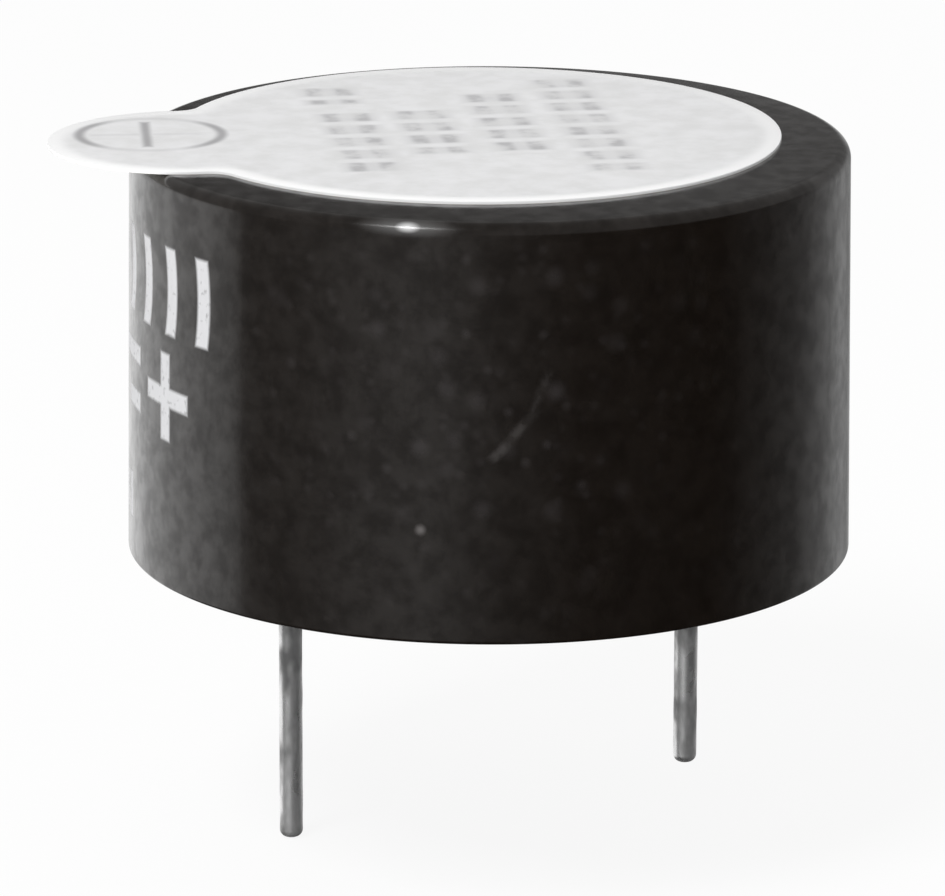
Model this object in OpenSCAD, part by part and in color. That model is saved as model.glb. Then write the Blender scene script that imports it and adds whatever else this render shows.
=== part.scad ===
// Round piezo buzzer for a circuit board, with its own drive circuit and a peel-off wash label.
// The origin is the centre of the rim that sits on the host board. +Z points to the sound port.
// The longer, positive pin is on -X, below the tab of the label.

/* [Case] */
// Outer diameter at the open bottom rim
case_base_d = 23.0; // [22:0.1:26]
// Outer diameter at the top before its edge is rounded, smaller by the moulding draft
case_top_d = 22.7; // [21.7:0.1:25.7]
// Height from the rim to the top face
case_h = 13.1; // [12.2:0.1:18]
// Thickness of the round wall
wall_t = 1.2; // [0.8:0.05:1.5]
// Thickness of the roof
roof_t = 1.2; // [0.8:0.05:1.8]
// Radius of the rounded top edge
top_edge_r = 0.4; // [0.1:0.05:0.7]
// Diameter of the sound port in the roof
sound_port_d = 2.6; // [1.6:0.1:4]
// Depth of the resonance chamber inside the seat ring
chamber_h = 2.0; // [1.4:0.1:2.6]
// Thickness of the seat ring that carries the sounder plate
seat_ring_t = 0.9; // [0.6:0.05:1.4]
// Number of ribs that stop the board
rib_count = 4; // [3:1:6]
// Width of a rib
rib_w = 1.2; // [0.8:0.1:1.8]
// How far a rib stands in from the wall
rib_depth = 0.7; // [0.4:0.05:0.9]

/* [Wash label] */
// Diameter of the round part of the label
label_d = 19.2; // [16:0.1:21]
// Thickness of the film with its adhesive
label_t = 0.1; // [0.06:0.01:0.3]
// Diameter of the tab
tab_d = 8.6; // [5:0.1:12]
// Distance from the label's centre to the tab's centre
tab_reach = 9.3; // [7.5:0.05:11]
// Radius of the hollow corners beside the tab
tab_neck_r = 0.8; // [0.3:0.1:4]
// Offset of the label from the case's axis along X
label_shift_x = -0.4; // [-1:0.05:1]
// Offset of the label from the case's axis along Y
label_shift_y = 0.8; // [-1:0.05:1]
// Direction of the tab, in degrees from +X
label_turn = 189; // [0:1:360]

/* [Sounder] */
// Thickness of the brass plate
plate_t = 0.15; // [0.1:0.01:0.3]
// Gap from the plate to the ribs
plate_gap = 0.2; // [0.1:0.05:0.4]
// Bare width of the plate around the ceramic disc
plate_margin = 2.5; // [2:0.1:3.2]
// Thickness of the ceramic disc
ceramic_t = 0.15; // [0.1:0.01:0.3]
// Thickness of the fired silver electrodes
electrode_t = 0.04; // [0.03:0.005:0.08]
// Bare margin of ceramic around the electrodes
electrode_margin = 0.4; // [0.2:0.05:0.8]
// Width of the feedback tongue
tongue_w = 2.4; // [2:0.1:3]
// Length of the feedback tongue from the rim of the electrode
tongue_l = 4.2; // [3.4:0.1:4.8]
// Bare gap around the feedback tongue
tongue_gap = 0.5; // [0.3:0.05:0.8]
// Thickness of the silicone film between the seat ring and the plate
bond_t = 0.1; // [0.05:0.01:0.2]
// Width of the silicone bead beside the seat ring
bond_bead_w = 0.4; // [0.2:0.05:0.7]
// Height of the silicone bead up the seat ring
bond_bead_h = 0.3; // [0.1:0.05:0.6]

/* [Board] */
// Thickness of the circuit board
board_t = 1.0; // [0.8:0.1:1.2]
// Gap from the board's edge to the wall
board_gap = 0.25; // [0.1:0.05:0.4]
// Radial play of a wire or pin in its hole
hole_gap = 0.05; // [0.03:0.01:0.1]
// Depth of the resin's face inside the rim
resin_recess = 0.5; // [0.4:0.05:1]
// Depth of resin under the board
resin_t = 2.0; // [1.6:0.1:2.3]
// Radius of the resin's meniscus at the wall
meniscus_r = 0.25; // [0.1:0.05:0.35]

/* [Pins] */
// Distance between the pins
pin_pitch = 12.7; // [11.5:0.1:14]
// Diameter of a pin's free end
pin_d = 0.75; // [0.5:0.05:0.9]
// Free length of the positive pin below the rim
positive_l = 10.0; // [4:0.1:20]
// Free length of the negative pin below the rim
negative_l = 7.4; // [3:0.1:18]
// Radius of the rounded pin tip
pin_tip_r = 0.25; // [0.1:0.01:0.25]
// Diameter of the shank that the resin grips
shank_d = 1.3; // [1.2:0.05:1.6]
// Length of shank that stands out of the resin
shank_proud = 0.1; // [0.05:0.05:0.3]
// Diameter of the pin's head on top of the board
pin_head_d = 2.0; // [1.8:0.1:2.4]
// Height of the pin's head
pin_head_h = 0.4; // [0.3:0.1:0.8]

/* [Drive circuit] */
// Width of the transistor
transistor_w = 4.0; // [3.6:0.1:4.6]
// Depth of the transistor
transistor_depth = 2.3; // [1.9:0.1:2.6]
// Clearance from the transistor's top to the sounder
transistor_gap = 1.75; // [1.4:0.05:2.5]
// Chamfer on the two front edges of the transistor
transistor_chamfer = 0.6; // [0.3:0.1:0.8]
// Distance from the board to the transistor's body
transistor_lift = 1.0; // [0.6:0.1:1.3]
// Pitch of the transistor's leads
transistor_pitch = 1.27; // [1.2:0.01:1.4]
// Width of a transistor lead
flat_lead_w = 0.45; // [0.35:0.01:0.5]
// Thickness of a transistor lead
flat_lead_t = 0.4; // [0.3:0.01:0.45]
// Length of a resistor's body
resistor_l = 3.4; // [3:0.1:3.8]
// Diameter of a resistor's rounded ends
resistor_end_d = 1.7; // [1.5:0.05:1.9]
// Diameter of a resistor's waist
resistor_waist_d = 1.45; // [1.2:0.05:1.5]
// Distance between a resistor's two holes
resistor_pitch = 7.5; // [6.5:0.1:8]
// Distance from the board to a resistor's body
resistor_lift = 0.1; // [0.05:0.05:0.4]
// Diameter of a resistor lead
lead_d = 0.45; // [0.35:0.01:0.5]
// Radius of the bend in a resistor lead, along its centre
lead_bend_r = 0.6; // [0.5:0.05:0.9]
// Length of a lead that stands out under the board
lead_stub = 0.5; // [0.3:0.05:0.6]
// Length of a lead that is set into its component
lead_grip = 0.4; // [0.2:0.05:0.6]

/* [Wires and solder] */
// Diameter of a wire over its insulation
wire_d = 0.56; // [0.45:0.01:0.7]
// Diameter of a wire's bare conductor
conductor_d = 0.26; // [0.2:0.01:0.35]
// Length of bare conductor between the insulation and the solder bead
wire_strip = 0.25; // [0.1:0.05:0.5]
// Radius of a solder bead on the sounder
bead_r = 0.75; // [0.55:0.05:0.85]
// Height of a solder bead on the sounder
bead_h = 0.45; // [0.3:0.05:0.55]
// Gap between the solder joints of neighbouring transistor leads
joint_gap = 0.17; // [0.1:0.01:0.3]
// Radius of a lead's solder joint at its tip
joint_tip_r = 0.35; // [0.32:0.01:0.4]
// Height of a lead's solder joint
joint_h = 0.8; // [0.7:0.05:1]
// Width of a pin's solder fillet at the board
pin_fillet_w = 0.75; // [0.4:0.05:1]
// Width of a pin's solder fillet at its tip
pin_fillet_tip_w = 0.1; // [0.05:0.05:0.2]
// Height of a pin's solder fillet
pin_fillet_h = 0.9; // [0.5:0.1:1.2]

/* [Hidden] */
$fn = 96;
// Overrun of every cut
over = 0.2;
// Turn of the ribs, which leaves the pins' axis clear
rib_turn = 45;
// Radius of the still circle of a free round plate, as a share of the plate's radius
still_circle_share = 0.68;
// Places on the board, as shares of its radius
transistor_place_shares = [0, 0.2];
base_resistor_place_shares = [0, -0.3];
collector_resistor_place_shares = [0, -0.6];
feedback_resistor_place_shares = [0, 0.6];
plate_wire_hole_shares = [-0.7, 0.42];
main_wire_hole_shares = [-0.66, -0.44];
feedback_wire_hole_shares = [0.64, -0.36];
// Direction of the solder bead on the plate's bare margin, in degrees from +X
plate_bead_turn = 136;
// Places of the solder beads on the electrodes, as shares of the electrode's radius
main_bead_shares = [-0.57, -0.5];
feedback_bead_shares = [0.72, 0];
// How far along its height a wire runs straight, as the pull of its curve's end points
wire_pull_share = 0.5;
wire_rings = 14;
wire_sides = 8;

// Outline of the case
base_r = case_base_d / 2;
top_r = case_top_d / 2;
function case_r(z) = base_r + (top_r - base_r) * z / case_h;
function bore_r(z) = case_r(z) - wall_t;
roof_z = case_h - roof_t;

// The rounded edge is tangent to the sloping wall and to the top face
wall_slant = sqrt(pow(case_h, 2) + pow(base_r - top_r, 2));
edge_z = case_h - top_edge_r;
edge_x = base_r - (top_edge_r * wall_slant + edge_z * (base_r - top_r)) / case_h;
edge_tangent_x = edge_x + top_edge_r * case_h / wall_slant;
edge_tangent_z = edge_z + top_edge_r * (base_r - top_r) / wall_slant;

// Stack that hangs from the roof
seat_z = roof_z - chamber_h;
plate_top = seat_z - bond_t;
plate_z = plate_top - plate_t;
ceramic_z = plate_z - ceramic_t;
electrode_z = ceramic_z - electrode_t;
rib_in_r = bore_r(roof_z) - rib_depth;
plate_r = rib_in_r - plate_gap;
seat_in_r = still_circle_share * plate_r - seat_ring_t / 2;
seat_out_r = seat_in_r + seat_ring_t;
ceramic_r = plate_r - plate_margin;
electrode_r = ceramic_r - electrode_margin;

// Stack that stands on the resin
resin_z = resin_recess;
board_z = resin_z + resin_t;
board_top = board_z + board_t;
board_r = bore_r(board_top) - board_gap;
shank_z = resin_z - shank_proud;

// Places on the board and on the sounder
transistor_place = board_r * transistor_place_shares;
resistor_places = [
    board_r * base_resistor_place_shares,
    board_r * collector_resistor_place_shares,
    board_r * feedback_resistor_place_shares
];
wire_holes = [
    board_r * plate_wire_hole_shares,
    board_r * main_wire_hole_shares,
    board_r * feedback_wire_hole_shares
];
bead_places = [
    (plate_r - plate_margin / 2) * [cos(plate_bead_turn), sin(plate_bead_turn)],
    electrode_r * main_bead_shares,
    electrode_r * feedback_bead_shares
];
bead_faces = [plate_z, electrode_z, electrode_z];
pin_places = [[-pin_pitch / 2, 0], [pin_pitch / 2, 0]];
transistor_lead_places = [
    for (i = [-1:1]) transistor_place + [i * transistor_pitch, 0]
];
resistor_lead_places = [
    for (place = resistor_places, side = [-1, 1]) place + [side * resistor_pitch / 2, 0]
];
joint_places = concat(wire_holes, transistor_lead_places, resistor_lead_places);
joint_r = (transistor_pitch - joint_gap) / 2;

module at(place, z) {
    translate([place[0], place[1], z]) children();
}

module ring(in_r, out_r, z, h) {
    translate([0, 0, z])
        difference() {
            cylinder(r = out_r, h = h);
            translate([0, 0, -over]) cylinder(r = in_r, h = h + 2 * over);
        }
}

// Case: a cup with drafted walls, open at the bottom
module case_outline() {
    polygon([
        [0, 0], [base_r, 0], [edge_tangent_x, edge_tangent_z],
        [edge_x, edge_z], [edge_x, case_h], [0, case_h]
    ]);
    translate([edge_x, edge_z]) circle(r = top_edge_r);
}

module bore_outline() {
    polygon([[0, -over], [bore_r(-over), -over], [bore_r(roof_z), roof_z], [0, roof_z]]);
}

module board_ribs() {
    for (i = [0:rib_count - 1])
        rotate(rib_turn + i * 360 / rib_count)
            translate([rib_in_r, -rib_w / 2, board_top])
                cube([base_r, rib_w, case_h - board_top]);
}

// The hollow that the mould's core leaves, less the ribs and the seat ring
module case_hollow() {
    difference() {
        rotate_extrude() bore_outline();
        board_ribs();
        ring(seat_in_r, seat_out_r, seat_z, chamber_h + over);
    }
}

module case() {
    color("#202022")
        difference() {
            rotate_extrude() case_outline();
            case_hollow();
            translate([0, 0, roof_z - over]) cylinder(d = sound_port_d, h = roof_t + 2 * over);
        }
}

// Wash label: a disc and a tab whose necks are hollow arcs tangent to both
function neck_x() =
    (pow(tab_reach, 2) + pow(label_d / 2 + tab_neck_r, 2) - pow(tab_d / 2 + tab_neck_r, 2))
    / (2 * tab_reach);
function neck_y() = sqrt(pow(label_d / 2 + tab_neck_r, 2) - pow(neck_x(), 2));

module neck_outline() {
    difference() {
        polygon([[0, 0], [neck_x(), neck_y()], [tab_reach, 0], [neck_x(), -neck_y()]]);
        for (side = [-1, 1])
            translate([neck_x(), side * neck_y()]) circle(r = tab_neck_r);
    }
}

module wash_label() {
    color("#e8e8ea")
        translate([label_shift_x, label_shift_y, case_h])
            rotate(label_turn) {
                cylinder(d = label_d, h = label_t);
                translate([tab_reach, 0, 0]) cylinder(d = tab_d, h = label_t);
                linear_extrude(label_t) neck_outline();
            }
}

// Sounder: ceramic bonded to a brass plate, with a main electrode and a feedback tongue
module piezo_plate() {
    color("#c9a24a")
        translate([0, 0, plate_z]) cylinder(r = plate_r, h = plate_t);
}

module piezo_ceramic() {
    color("#e9e2cf")
        translate([0, 0, ceramic_z]) cylinder(r = ceramic_r, h = ceramic_t);
}

module tongue_outline(margin) {
    tongue_r = tongue_w / 2 + margin;
    tongue_end = electrode_r - tongue_l + tongue_w / 2;
    translate([tongue_end, 0]) circle(r = tongue_r);
    translate([tongue_end, -tongue_r]) square([tongue_l + over, 2 * tongue_r]);
}

module main_electrode() {
    color("#c8c8c4")
        translate([0, 0, electrode_z])
            linear_extrude(electrode_t)
                difference() {
                    circle(r = electrode_r);
                    tongue_outline(tongue_gap);
                }
}

module feedback_electrode() {
    color("#d2d2ce")
        translate([0, 0, electrode_z])
            linear_extrude(electrode_t)
                intersection() {
                    circle(r = electrode_r);
                    tongue_outline(0);
                }
}

// Silicone that wraps the end of the seat ring
module plate_bond() {
    color("#d8d8d8")
        difference() {
            ring(seat_in_r - bond_bead_w, seat_out_r + bond_bead_w, plate_top, bond_t + bond_bead_h);
            ring(seat_in_r, seat_out_r, seat_z, bond_bead_h + over);
        }
}

// Circuit board, drilled for every lead, wire and pin
module drill(place, r) {
    at(place, board_z - over) cylinder(r = r, h = board_t + 2 * over);
}

module circuit_board() {
    flat_lead_r = norm([flat_lead_w, flat_lead_t]) / 2;
    color("#b98a4e")
        difference() {
            translate([0, 0, board_z]) cylinder(r = board_r, h = board_t);
            for (place = pin_places) drill(place, shank_d / 2 + hole_gap);
            for (place = wire_holes) drill(place, conductor_d / 2 + hole_gap);
            for (place = transistor_lead_places) drill(place, flat_lead_r + hole_gap);
            for (place = resistor_lead_places) drill(place, lead_d / 2 + hole_gap);
        }
}

// Pins: a head on the board, a shank gripped by the resin and a thinner free end
module pin_tip_outline() {
    intersection() {
        square([pin_d / 2, pin_d]);
        union() {
            square([pin_d / 2 - pin_tip_r, pin_d]);
            translate([0, pin_tip_r]) square([pin_d / 2, pin_d]);
            translate([pin_d / 2 - pin_tip_r, pin_tip_r]) circle(r = pin_tip_r);
        }
    }
}

module pin_outline(free_l) {
    translate([0, -free_l]) pin_tip_outline();
    translate([0, pin_d / 2 - free_l]) square([pin_d / 2, free_l - pin_d / 2 + board_top]);
    translate([0, shank_z]) square([shank_d / 2, board_top - shank_z]);
    translate([0, board_top]) square([pin_head_d / 2, pin_head_h]);
}

module pin(place, free_l) {
    at(place, 0) rotate_extrude() pin_outline(free_l);
}

module positive_pin() {
    color("#8f9091") pin(pin_places[0], positive_l);
}

module negative_pin() {
    color("#8f9091") pin(pin_places[1], negative_l);
}

module solder_cone(tip_r, foot_r, h, overrun) {
    translate([0, 0, board_z - h])
        cylinder(r1 = tip_r, r2 = foot_r + (foot_r - tip_r) * overrun / h, h = h + overrun);
}

module pin_fillet(overrun = 0) {
    solder_cone(
        shank_d / 2 + pin_fillet_tip_w, shank_d / 2 + pin_fillet_w, pin_fillet_h, overrun
    );
}

module pin_solder() {
    color("#b9babb")
        for (place = pin_places)
            at(place, 0)
                difference() {
                    pin_fillet();
                    translate([0, 0, shank_z]) cylinder(d = shank_d, h = board_top - shank_z);
                }
}

// Transistor: a moulded block with two chamfered front edges on three flat leads
transistor_z = board_top + transistor_lift;
transistor_h = electrode_z - transistor_gap - transistor_z;

module transistor_outline() {
    half_w = transistor_w / 2;
    half_depth = transistor_depth / 2;
    polygon([
        [-half_w, half_depth], [half_w, half_depth],
        [half_w, transistor_chamfer - half_depth], [half_w - transistor_chamfer, -half_depth],
        [transistor_chamfer - half_w, -half_depth], [-half_w, transistor_chamfer - half_depth]
    ]);
}

module transistor_body() {
    color("#2a2a2b")
        difference() {
            at(transistor_place, transistor_z)
                linear_extrude(transistor_h) transistor_outline();
            flat_leads();
        }
}

module flat_leads() {
    for (place = transistor_lead_places)
        at(place, board_z - lead_stub)
            translate([-flat_lead_w / 2, -flat_lead_t / 2, 0])
                cube([
                    flat_lead_w, flat_lead_t,
                    lead_stub + board_t + transistor_lift + lead_grip
                ]);
}

module transistor_leads() {
    color("#b4b5b6") flat_leads();
}

// Resistors: a waisted body lying on the board, between two bent leads
resistor_axis_z = board_top + resistor_lift + resistor_end_d / 2;

module resistor_shape() {
    end_x = (resistor_l - resistor_end_d) / 2;
    rotate([0, 90, 0]) cylinder(d = resistor_waist_d, h = 2 * end_x, center = true);
    for (side = [-1, 1])
        translate([side * end_x, 0, 0]) sphere(d = resistor_end_d);
}

module bent_lead() {
    run_x = resistor_l / 2 - lead_grip;
    bend_x = resistor_pitch / 2 - lead_bend_r;
    drop = resistor_axis_z - board_z + lead_stub - lead_bend_r;
    translate([run_x, 0, 0]) rotate([0, 90, 0]) cylinder(d = lead_d, h = bend_x - run_x);
    translate([bend_x, 0, -lead_bend_r])
        rotate([90, 0, 0])
            rotate_extrude(angle = 90)
                translate([lead_bend_r, 0]) circle(d = lead_d);
    translate([resistor_pitch / 2, 0, -lead_bend_r - drop]) cylinder(d = lead_d, h = drop);
}

module lead_pair() {
    bent_lead();
    mirror([1, 0, 0]) bent_lead();
}

module resistor(i) {
    color("#6fa3b8")
        at(resistor_places[i], resistor_axis_z)
            difference() {
                resistor_shape();
                lead_pair();
            }
}

module resistor_leads(i) {
    color("#b4b5b6") at(resistor_places[i], resistor_axis_z) lead_pair();
}

module base_resistor() {
    resistor(0);
}

module base_resistor_leads() {
    resistor_leads(0);
}

module collector_resistor() {
    resistor(1);
}

module collector_resistor_leads() {
    resistor_leads(1);
}

module feedback_resistor() {
    resistor(2);
}

module feedback_resistor_leads() {
    resistor_leads(2);
}

// Wires: insulation swept along a slack curve, with bare ends in the board and in a bead
function bead_tip_z(i) = bead_faces[i] - bead_h;
function wire_end_z(i) = bead_tip_z(i) - wire_strip;
function flat_point(place, z) = [place[0], place[1], z];
function curve(p0, p1, p2, p3, t) =
    pow(1 - t, 3) * p0 + 3 * t * pow(1 - t, 2) * p1 + 3 * pow(t, 2) * (1 - t) * p2 + pow(t, 3) * p3;
function curve_slope(p0, p1, p2, p3, t) =
    pow(1 - t, 2) * (p1 - p0) + 2 * t * (1 - t) * (p2 - p1) + pow(t, 2) * (p3 - p2);
function unit(v) = v / norm(v);

module swept_wire(low, high) {
    pull = [0, 0, wire_pull_share * (high[2] - low[2])];
    across = unit(cross([0, 0, 1], high - low));
    rings = [
        for (i = [0:wire_rings - 1])
            let (
                t = i / (wire_rings - 1),
                centre = curve(low, low + pull, high - pull, high, t),
                along = unit(curve_slope(low, low + pull, high - pull, high, t)),
                inward = cross(across, along)
            )
            for (k = [0:wire_sides - 1])
                let (a = k * 360 / wire_sides)
                centre + wire_d / 2 * (cos(a) * across + sin(a) * inward)
    ];
    last = (wire_rings - 1) * wire_sides;
    walls = [
        for (i = [0:wire_rings - 2], k = [0:wire_sides - 1])
            let (a = i * wire_sides + k, b = i * wire_sides + (k + 1) % wire_sides)
            [a, b, b + wire_sides, a + wire_sides]
    ];
    caps = [
        [for (k = [wire_sides - 1:-1:0]) k],
        [for (k = [0:wire_sides - 1]) last + k]
    ];
    polyhedron(points = rings, faces = concat(walls, caps));
}

module wire(i, shade) {
    color(shade) {
        swept_wire(flat_point(wire_holes[i], board_top), flat_point(bead_places[i], wire_end_z(i)));
        at(wire_holes[i], board_z - lead_stub)
            cylinder(d = conductor_d, h = lead_stub + board_t + over);
        at(bead_places[i], wire_end_z(i) - over)
            cylinder(d = conductor_d, h = over + wire_strip + bead_h);
    }
}

module plate_wire() {
    wire(0, "#26262a");
}

module main_wire() {
    wire(1, "#a8322c");
}

module feedback_wire() {
    wire(2, "#2f5c9c");
}

// Solder beads that join the wires to the plate and to the electrodes
module bead(i) {
    dome_r = (pow(bead_r, 2) + pow(bead_h, 2)) / (2 * bead_h);
    at(bead_places[i], bead_faces[i])
        difference() {
            intersection() {
                translate([0, 0, dome_r - bead_h]) sphere(r = dome_r);
                translate([-dome_r, -dome_r, -bead_h]) cube([2 * dome_r, 2 * dome_r, bead_h]);
            }
            translate([0, 0, -bead_h - over]) cylinder(d = conductor_d, h = bead_h + 2 * over);
        }
}

module sounder_solder() {
    color("#b9babb")
        for (i = [0:len(bead_places) - 1]) bead(i);
}

// Solder joints under the board, closed over the ends of the leads
module joint_cone(overrun = 0) {
    solder_cone(joint_tip_r, joint_r, joint_h, overrun);
}

module round_stub(place, d) {
    at(place, board_z - lead_stub) cylinder(d = d, h = lead_stub + over);
}

module board_solder() {
    color("#b9babb")
        difference() {
            for (place = joint_places) at(place, 0) joint_cone();
            for (place = wire_holes) round_stub(place, conductor_d);
            for (place = resistor_lead_places) round_stub(place, lead_d);
            flat_leads();
        }
}

// Potting resin: fills the rim up to the board and round its edge, with a meniscus at the wall
module resin_outline() {
    foot_z = resin_z - meniscus_r;
    foot_r = bore_r(foot_z);
    difference() {
        polygon([
            [0, resin_z], [foot_r - meniscus_r, resin_z], [foot_r - meniscus_r, foot_z],
            [foot_r, foot_z], [bore_r(board_top), board_top], [board_r, board_top],
            [board_r, board_z], [0, board_z]
        ]);
        translate([foot_r - meniscus_r, foot_z]) circle(r = meniscus_r);
    }
}

module potting_resin() {
    color("#1c1c1e")
        difference() {
            rotate_extrude() resin_outline();
            for (place = pin_places)
                at(place, 0) {
                    pin_fillet(over);
                    translate([0, 0, shank_z - over])
                        cylinder(d = shank_d, h = board_top - shank_z + over);
                }
            for (place = joint_places) at(place, 0) joint_cone(over);
        }
}

case();
wash_label();
piezo_plate();
piezo_ceramic();
main_electrode();
feedback_electrode();
plate_bond();
circuit_board();
positive_pin();
negative_pin();
pin_solder();
transistor_body();
transistor_leads();
base_resistor();
base_resistor_leads();
collector_resistor();
collector_resistor_leads();
feedback_resistor();
feedback_resistor_leads();
plate_wire();
main_wire();
feedback_wire();
sounder_solder();
board_solder();
potting_resin();
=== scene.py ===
# %% [markdown]
# # A round buzzer for a circuit board
# The object is a sealed piezo buzzer: a black moulded cup, a white wash label that is peeled off
# after soldering, two tinned pins, and the sounder with its small drive circuit inside.
# The CAD model already holds every solid at its true size, so this lesson loads it as a fixed
# frame and spends its time on what Blender does best: light, camera and surface finish.
# Everything is in metres, in the CAD frame: +Z points to the label and -X to the positive pin.

# %% Load the frame
import math

import bmesh
import bpy
from mathutils import Matrix, Vector


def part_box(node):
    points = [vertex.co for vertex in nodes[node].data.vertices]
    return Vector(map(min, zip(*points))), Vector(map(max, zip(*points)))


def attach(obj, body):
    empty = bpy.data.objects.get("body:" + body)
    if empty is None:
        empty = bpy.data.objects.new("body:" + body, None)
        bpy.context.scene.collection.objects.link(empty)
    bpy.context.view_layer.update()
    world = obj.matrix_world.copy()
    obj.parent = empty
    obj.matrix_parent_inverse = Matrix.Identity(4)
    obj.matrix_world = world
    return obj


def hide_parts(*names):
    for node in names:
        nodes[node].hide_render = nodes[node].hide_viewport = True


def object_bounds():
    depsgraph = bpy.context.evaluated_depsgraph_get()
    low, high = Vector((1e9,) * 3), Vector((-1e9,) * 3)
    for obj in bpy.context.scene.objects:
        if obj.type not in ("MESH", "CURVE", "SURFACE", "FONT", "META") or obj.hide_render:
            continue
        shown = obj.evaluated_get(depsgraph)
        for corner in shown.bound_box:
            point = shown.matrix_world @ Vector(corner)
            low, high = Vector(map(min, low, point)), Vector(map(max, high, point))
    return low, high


MM = 0.001

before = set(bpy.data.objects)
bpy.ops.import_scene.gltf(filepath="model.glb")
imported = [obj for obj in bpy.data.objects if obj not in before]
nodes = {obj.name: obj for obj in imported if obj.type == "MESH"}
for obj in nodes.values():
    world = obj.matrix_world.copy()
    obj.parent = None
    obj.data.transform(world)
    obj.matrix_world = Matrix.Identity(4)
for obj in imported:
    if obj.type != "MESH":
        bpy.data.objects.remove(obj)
cad_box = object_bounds()
box_mm = [[round(v / MM, 2) for v in corner] for corner in cad_box]
print("CAD nodes:", len(nodes), "box in mm:", box_mm)

# %% [markdown]
# ## Camera
# The photograph looks at the buzzer from the front and a little above, through a long lens, so
# that the upright walls stay almost parallel. A long lens could be copied by an orthographic
# camera, but the back of the rim is slightly smaller than the front, so a perspective camera far
# away is closer. The aim point lies a little below and beside the middle of the case, which puts
# the case high in the picture and leaves room for the pins, without any lens shift.

# %% The camera
CASE_MIDDLE = Vector((0, 0, 6.55 * MM))
CAMERA_HEIGHT_DEG = 14.53
CAMERA_REACH = 213.4 * MM
CAMERA_ROLL_DEG = 0.17
LENS_MM = 256.2
AIM_RIGHT, AIM_UP = -0.52 * MM, -3.38 * MM
CLIP_START = 10 * MM

lift = math.radians(CAMERA_HEIGHT_DEG)
back = Vector((0, -math.cos(lift), math.sin(lift)))
up = Vector((0, math.sin(lift), math.cos(lift)))
aim = CASE_MIDDLE + Vector((AIM_RIGHT, 0, 0)) + AIM_UP * up

camera = bpy.data.objects.new("camera", bpy.data.cameras.new("camera"))
bpy.context.scene.collection.objects.link(camera)
camera.location = CASE_MIDDLE + CAMERA_REACH * back
upright = (aim - camera.location).to_track_quat("-Z", "Y").to_matrix()
roll = Matrix.Rotation(math.radians(CAMERA_ROLL_DEG), 3, "Z")
camera.rotation_euler = (upright @ roll).to_euler()
camera.data.lens = LENS_MM
camera.data.clip_start = CLIP_START
bpy.context.scene.camera = camera
bpy.context.scene.view_settings.view_transform = "Standard"
print("camera at", [round(v / MM, 1) for v in camera.location], "mm, lens", LENS_MM, "mm")

# %% [markdown]
# ## Writing shaders as sums
# A procedural finish is mostly arithmetic on a position. Drawing that by hand takes dozens of
# small Math nodes. They could be made one by one in code too, but the sums would be hard to read,
# so a socket is wrapped in a class that understands Python's operators: `1 - mask` adds the node
# that it needs, `&` takes the smaller of two values and `|` the larger.

# %% The socket class
class Value:
    """A number, colour or vector that changes over a surface."""

    def __init__(self, finish, socket):
        self.finish, self.socket = finish, socket

    def also(self, output):
        """Another output of the same node."""
        return Value(self.finish, self.socket.node.outputs[output])

    def math(self, operation, *values):
        return self.finish.node("ShaderNodeMath", {"operation": operation}, dict(enumerate(values)))

    def __add__(self, other):
        return self.math("ADD", self, other)

    def __radd__(self, other):
        return self.math("ADD", other, self)

    def __sub__(self, other):
        return self.math("SUBTRACT", self, other)

    def __rsub__(self, other):
        return self.math("SUBTRACT", other, self)

    def __mul__(self, other):
        return self.math("MULTIPLY", self, other)

    def __rmul__(self, other):
        return self.math("MULTIPLY", other, self)

    def __truediv__(self, other):
        return self.math("DIVIDE", self, other)

    def __rtruediv__(self, other):
        return self.math("DIVIDE", other, self)

    def __pow__(self, other):
        return self.math("POWER", self, other)

    def __rpow__(self, other):
        return self.math("POWER", other, self)

    def __and__(self, other):
        return self.math("MINIMUM", self, other)

    def __or__(self, other):
        return self.math("MAXIMUM", self, other)

    __rand__, __ror__ = __and__, __or__

    def __abs__(self):
        return self.math("ABSOLUTE", self)


print("sockets now take + - * / ** & | and abs()")

# %% [markdown]
# A material and the world each own a node tree. Both are handled by one class, which empties the
# tree and then makes any node with one method: the node's own settings come first, and then its
# sockets are filled with a plain value or linked to a wrapped one. A helper for every kind of node
# would read a little shorter, but this way there is only one place where a link can go wrong.

# %% The finish class
class Finish:
    """One node tree: a material's, or the world's."""

    def __init__(self, owner):
        self.owner = owner
        owner.use_nodes = True
        self.tree = owner.node_tree
        self.tree.nodes.clear()

    def node(self, kind, settings=None, inputs=None, out=0):
        made = self.tree.nodes.new(kind)
        for name, value in (settings or {}).items():
            if name == "stops":
                self.set_stops(made.color_ramp, value)
            else:
                setattr(made, name, value)
        for name, value in (inputs or {}).items():
            if isinstance(value, Value):
                self.tree.links.new(value.socket, made.inputs[name])
            else:
                made.inputs[name].default_value = value
        return Value(self, made.outputs[out]) if made.outputs else made

    def set_stops(self, ramp, stops):
        while len(ramp.elements) < len(stops):
            ramp.elements.new(1)
        for element, (place, tint) in zip(ramp.elements, stops):
            element.position, element.color = place, tint


print("one method, node, makes and links any shader node")

# %% [markdown]
# ## The first masks
# A mask is a number from 0 to 1 that says where something is. Hard edges look cut out with
# scissors, so every mask here climbs softly: `rise` is a smooth step, and `level` turns a mask into
# a number between two levels. A colour ramp could do both, but its stops can't be sums.

# %% A soft step
def rise(value, low, high):
    """0 below low, 1 above high, with a smooth slope between."""
    return value.finish.node(
        "ShaderNodeMapRange",
        {"interpolation_type": "SMOOTHSTEP"},
        {"Value": value, "From Min": low, "From Max": high},
    )


def level(mask, low, high):
    """A number that goes from low to high as the mask goes from 0 to 1."""
    return low + (high - low) * mask


print("rise and level: a soft step, and a number that follows a mask")

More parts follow.
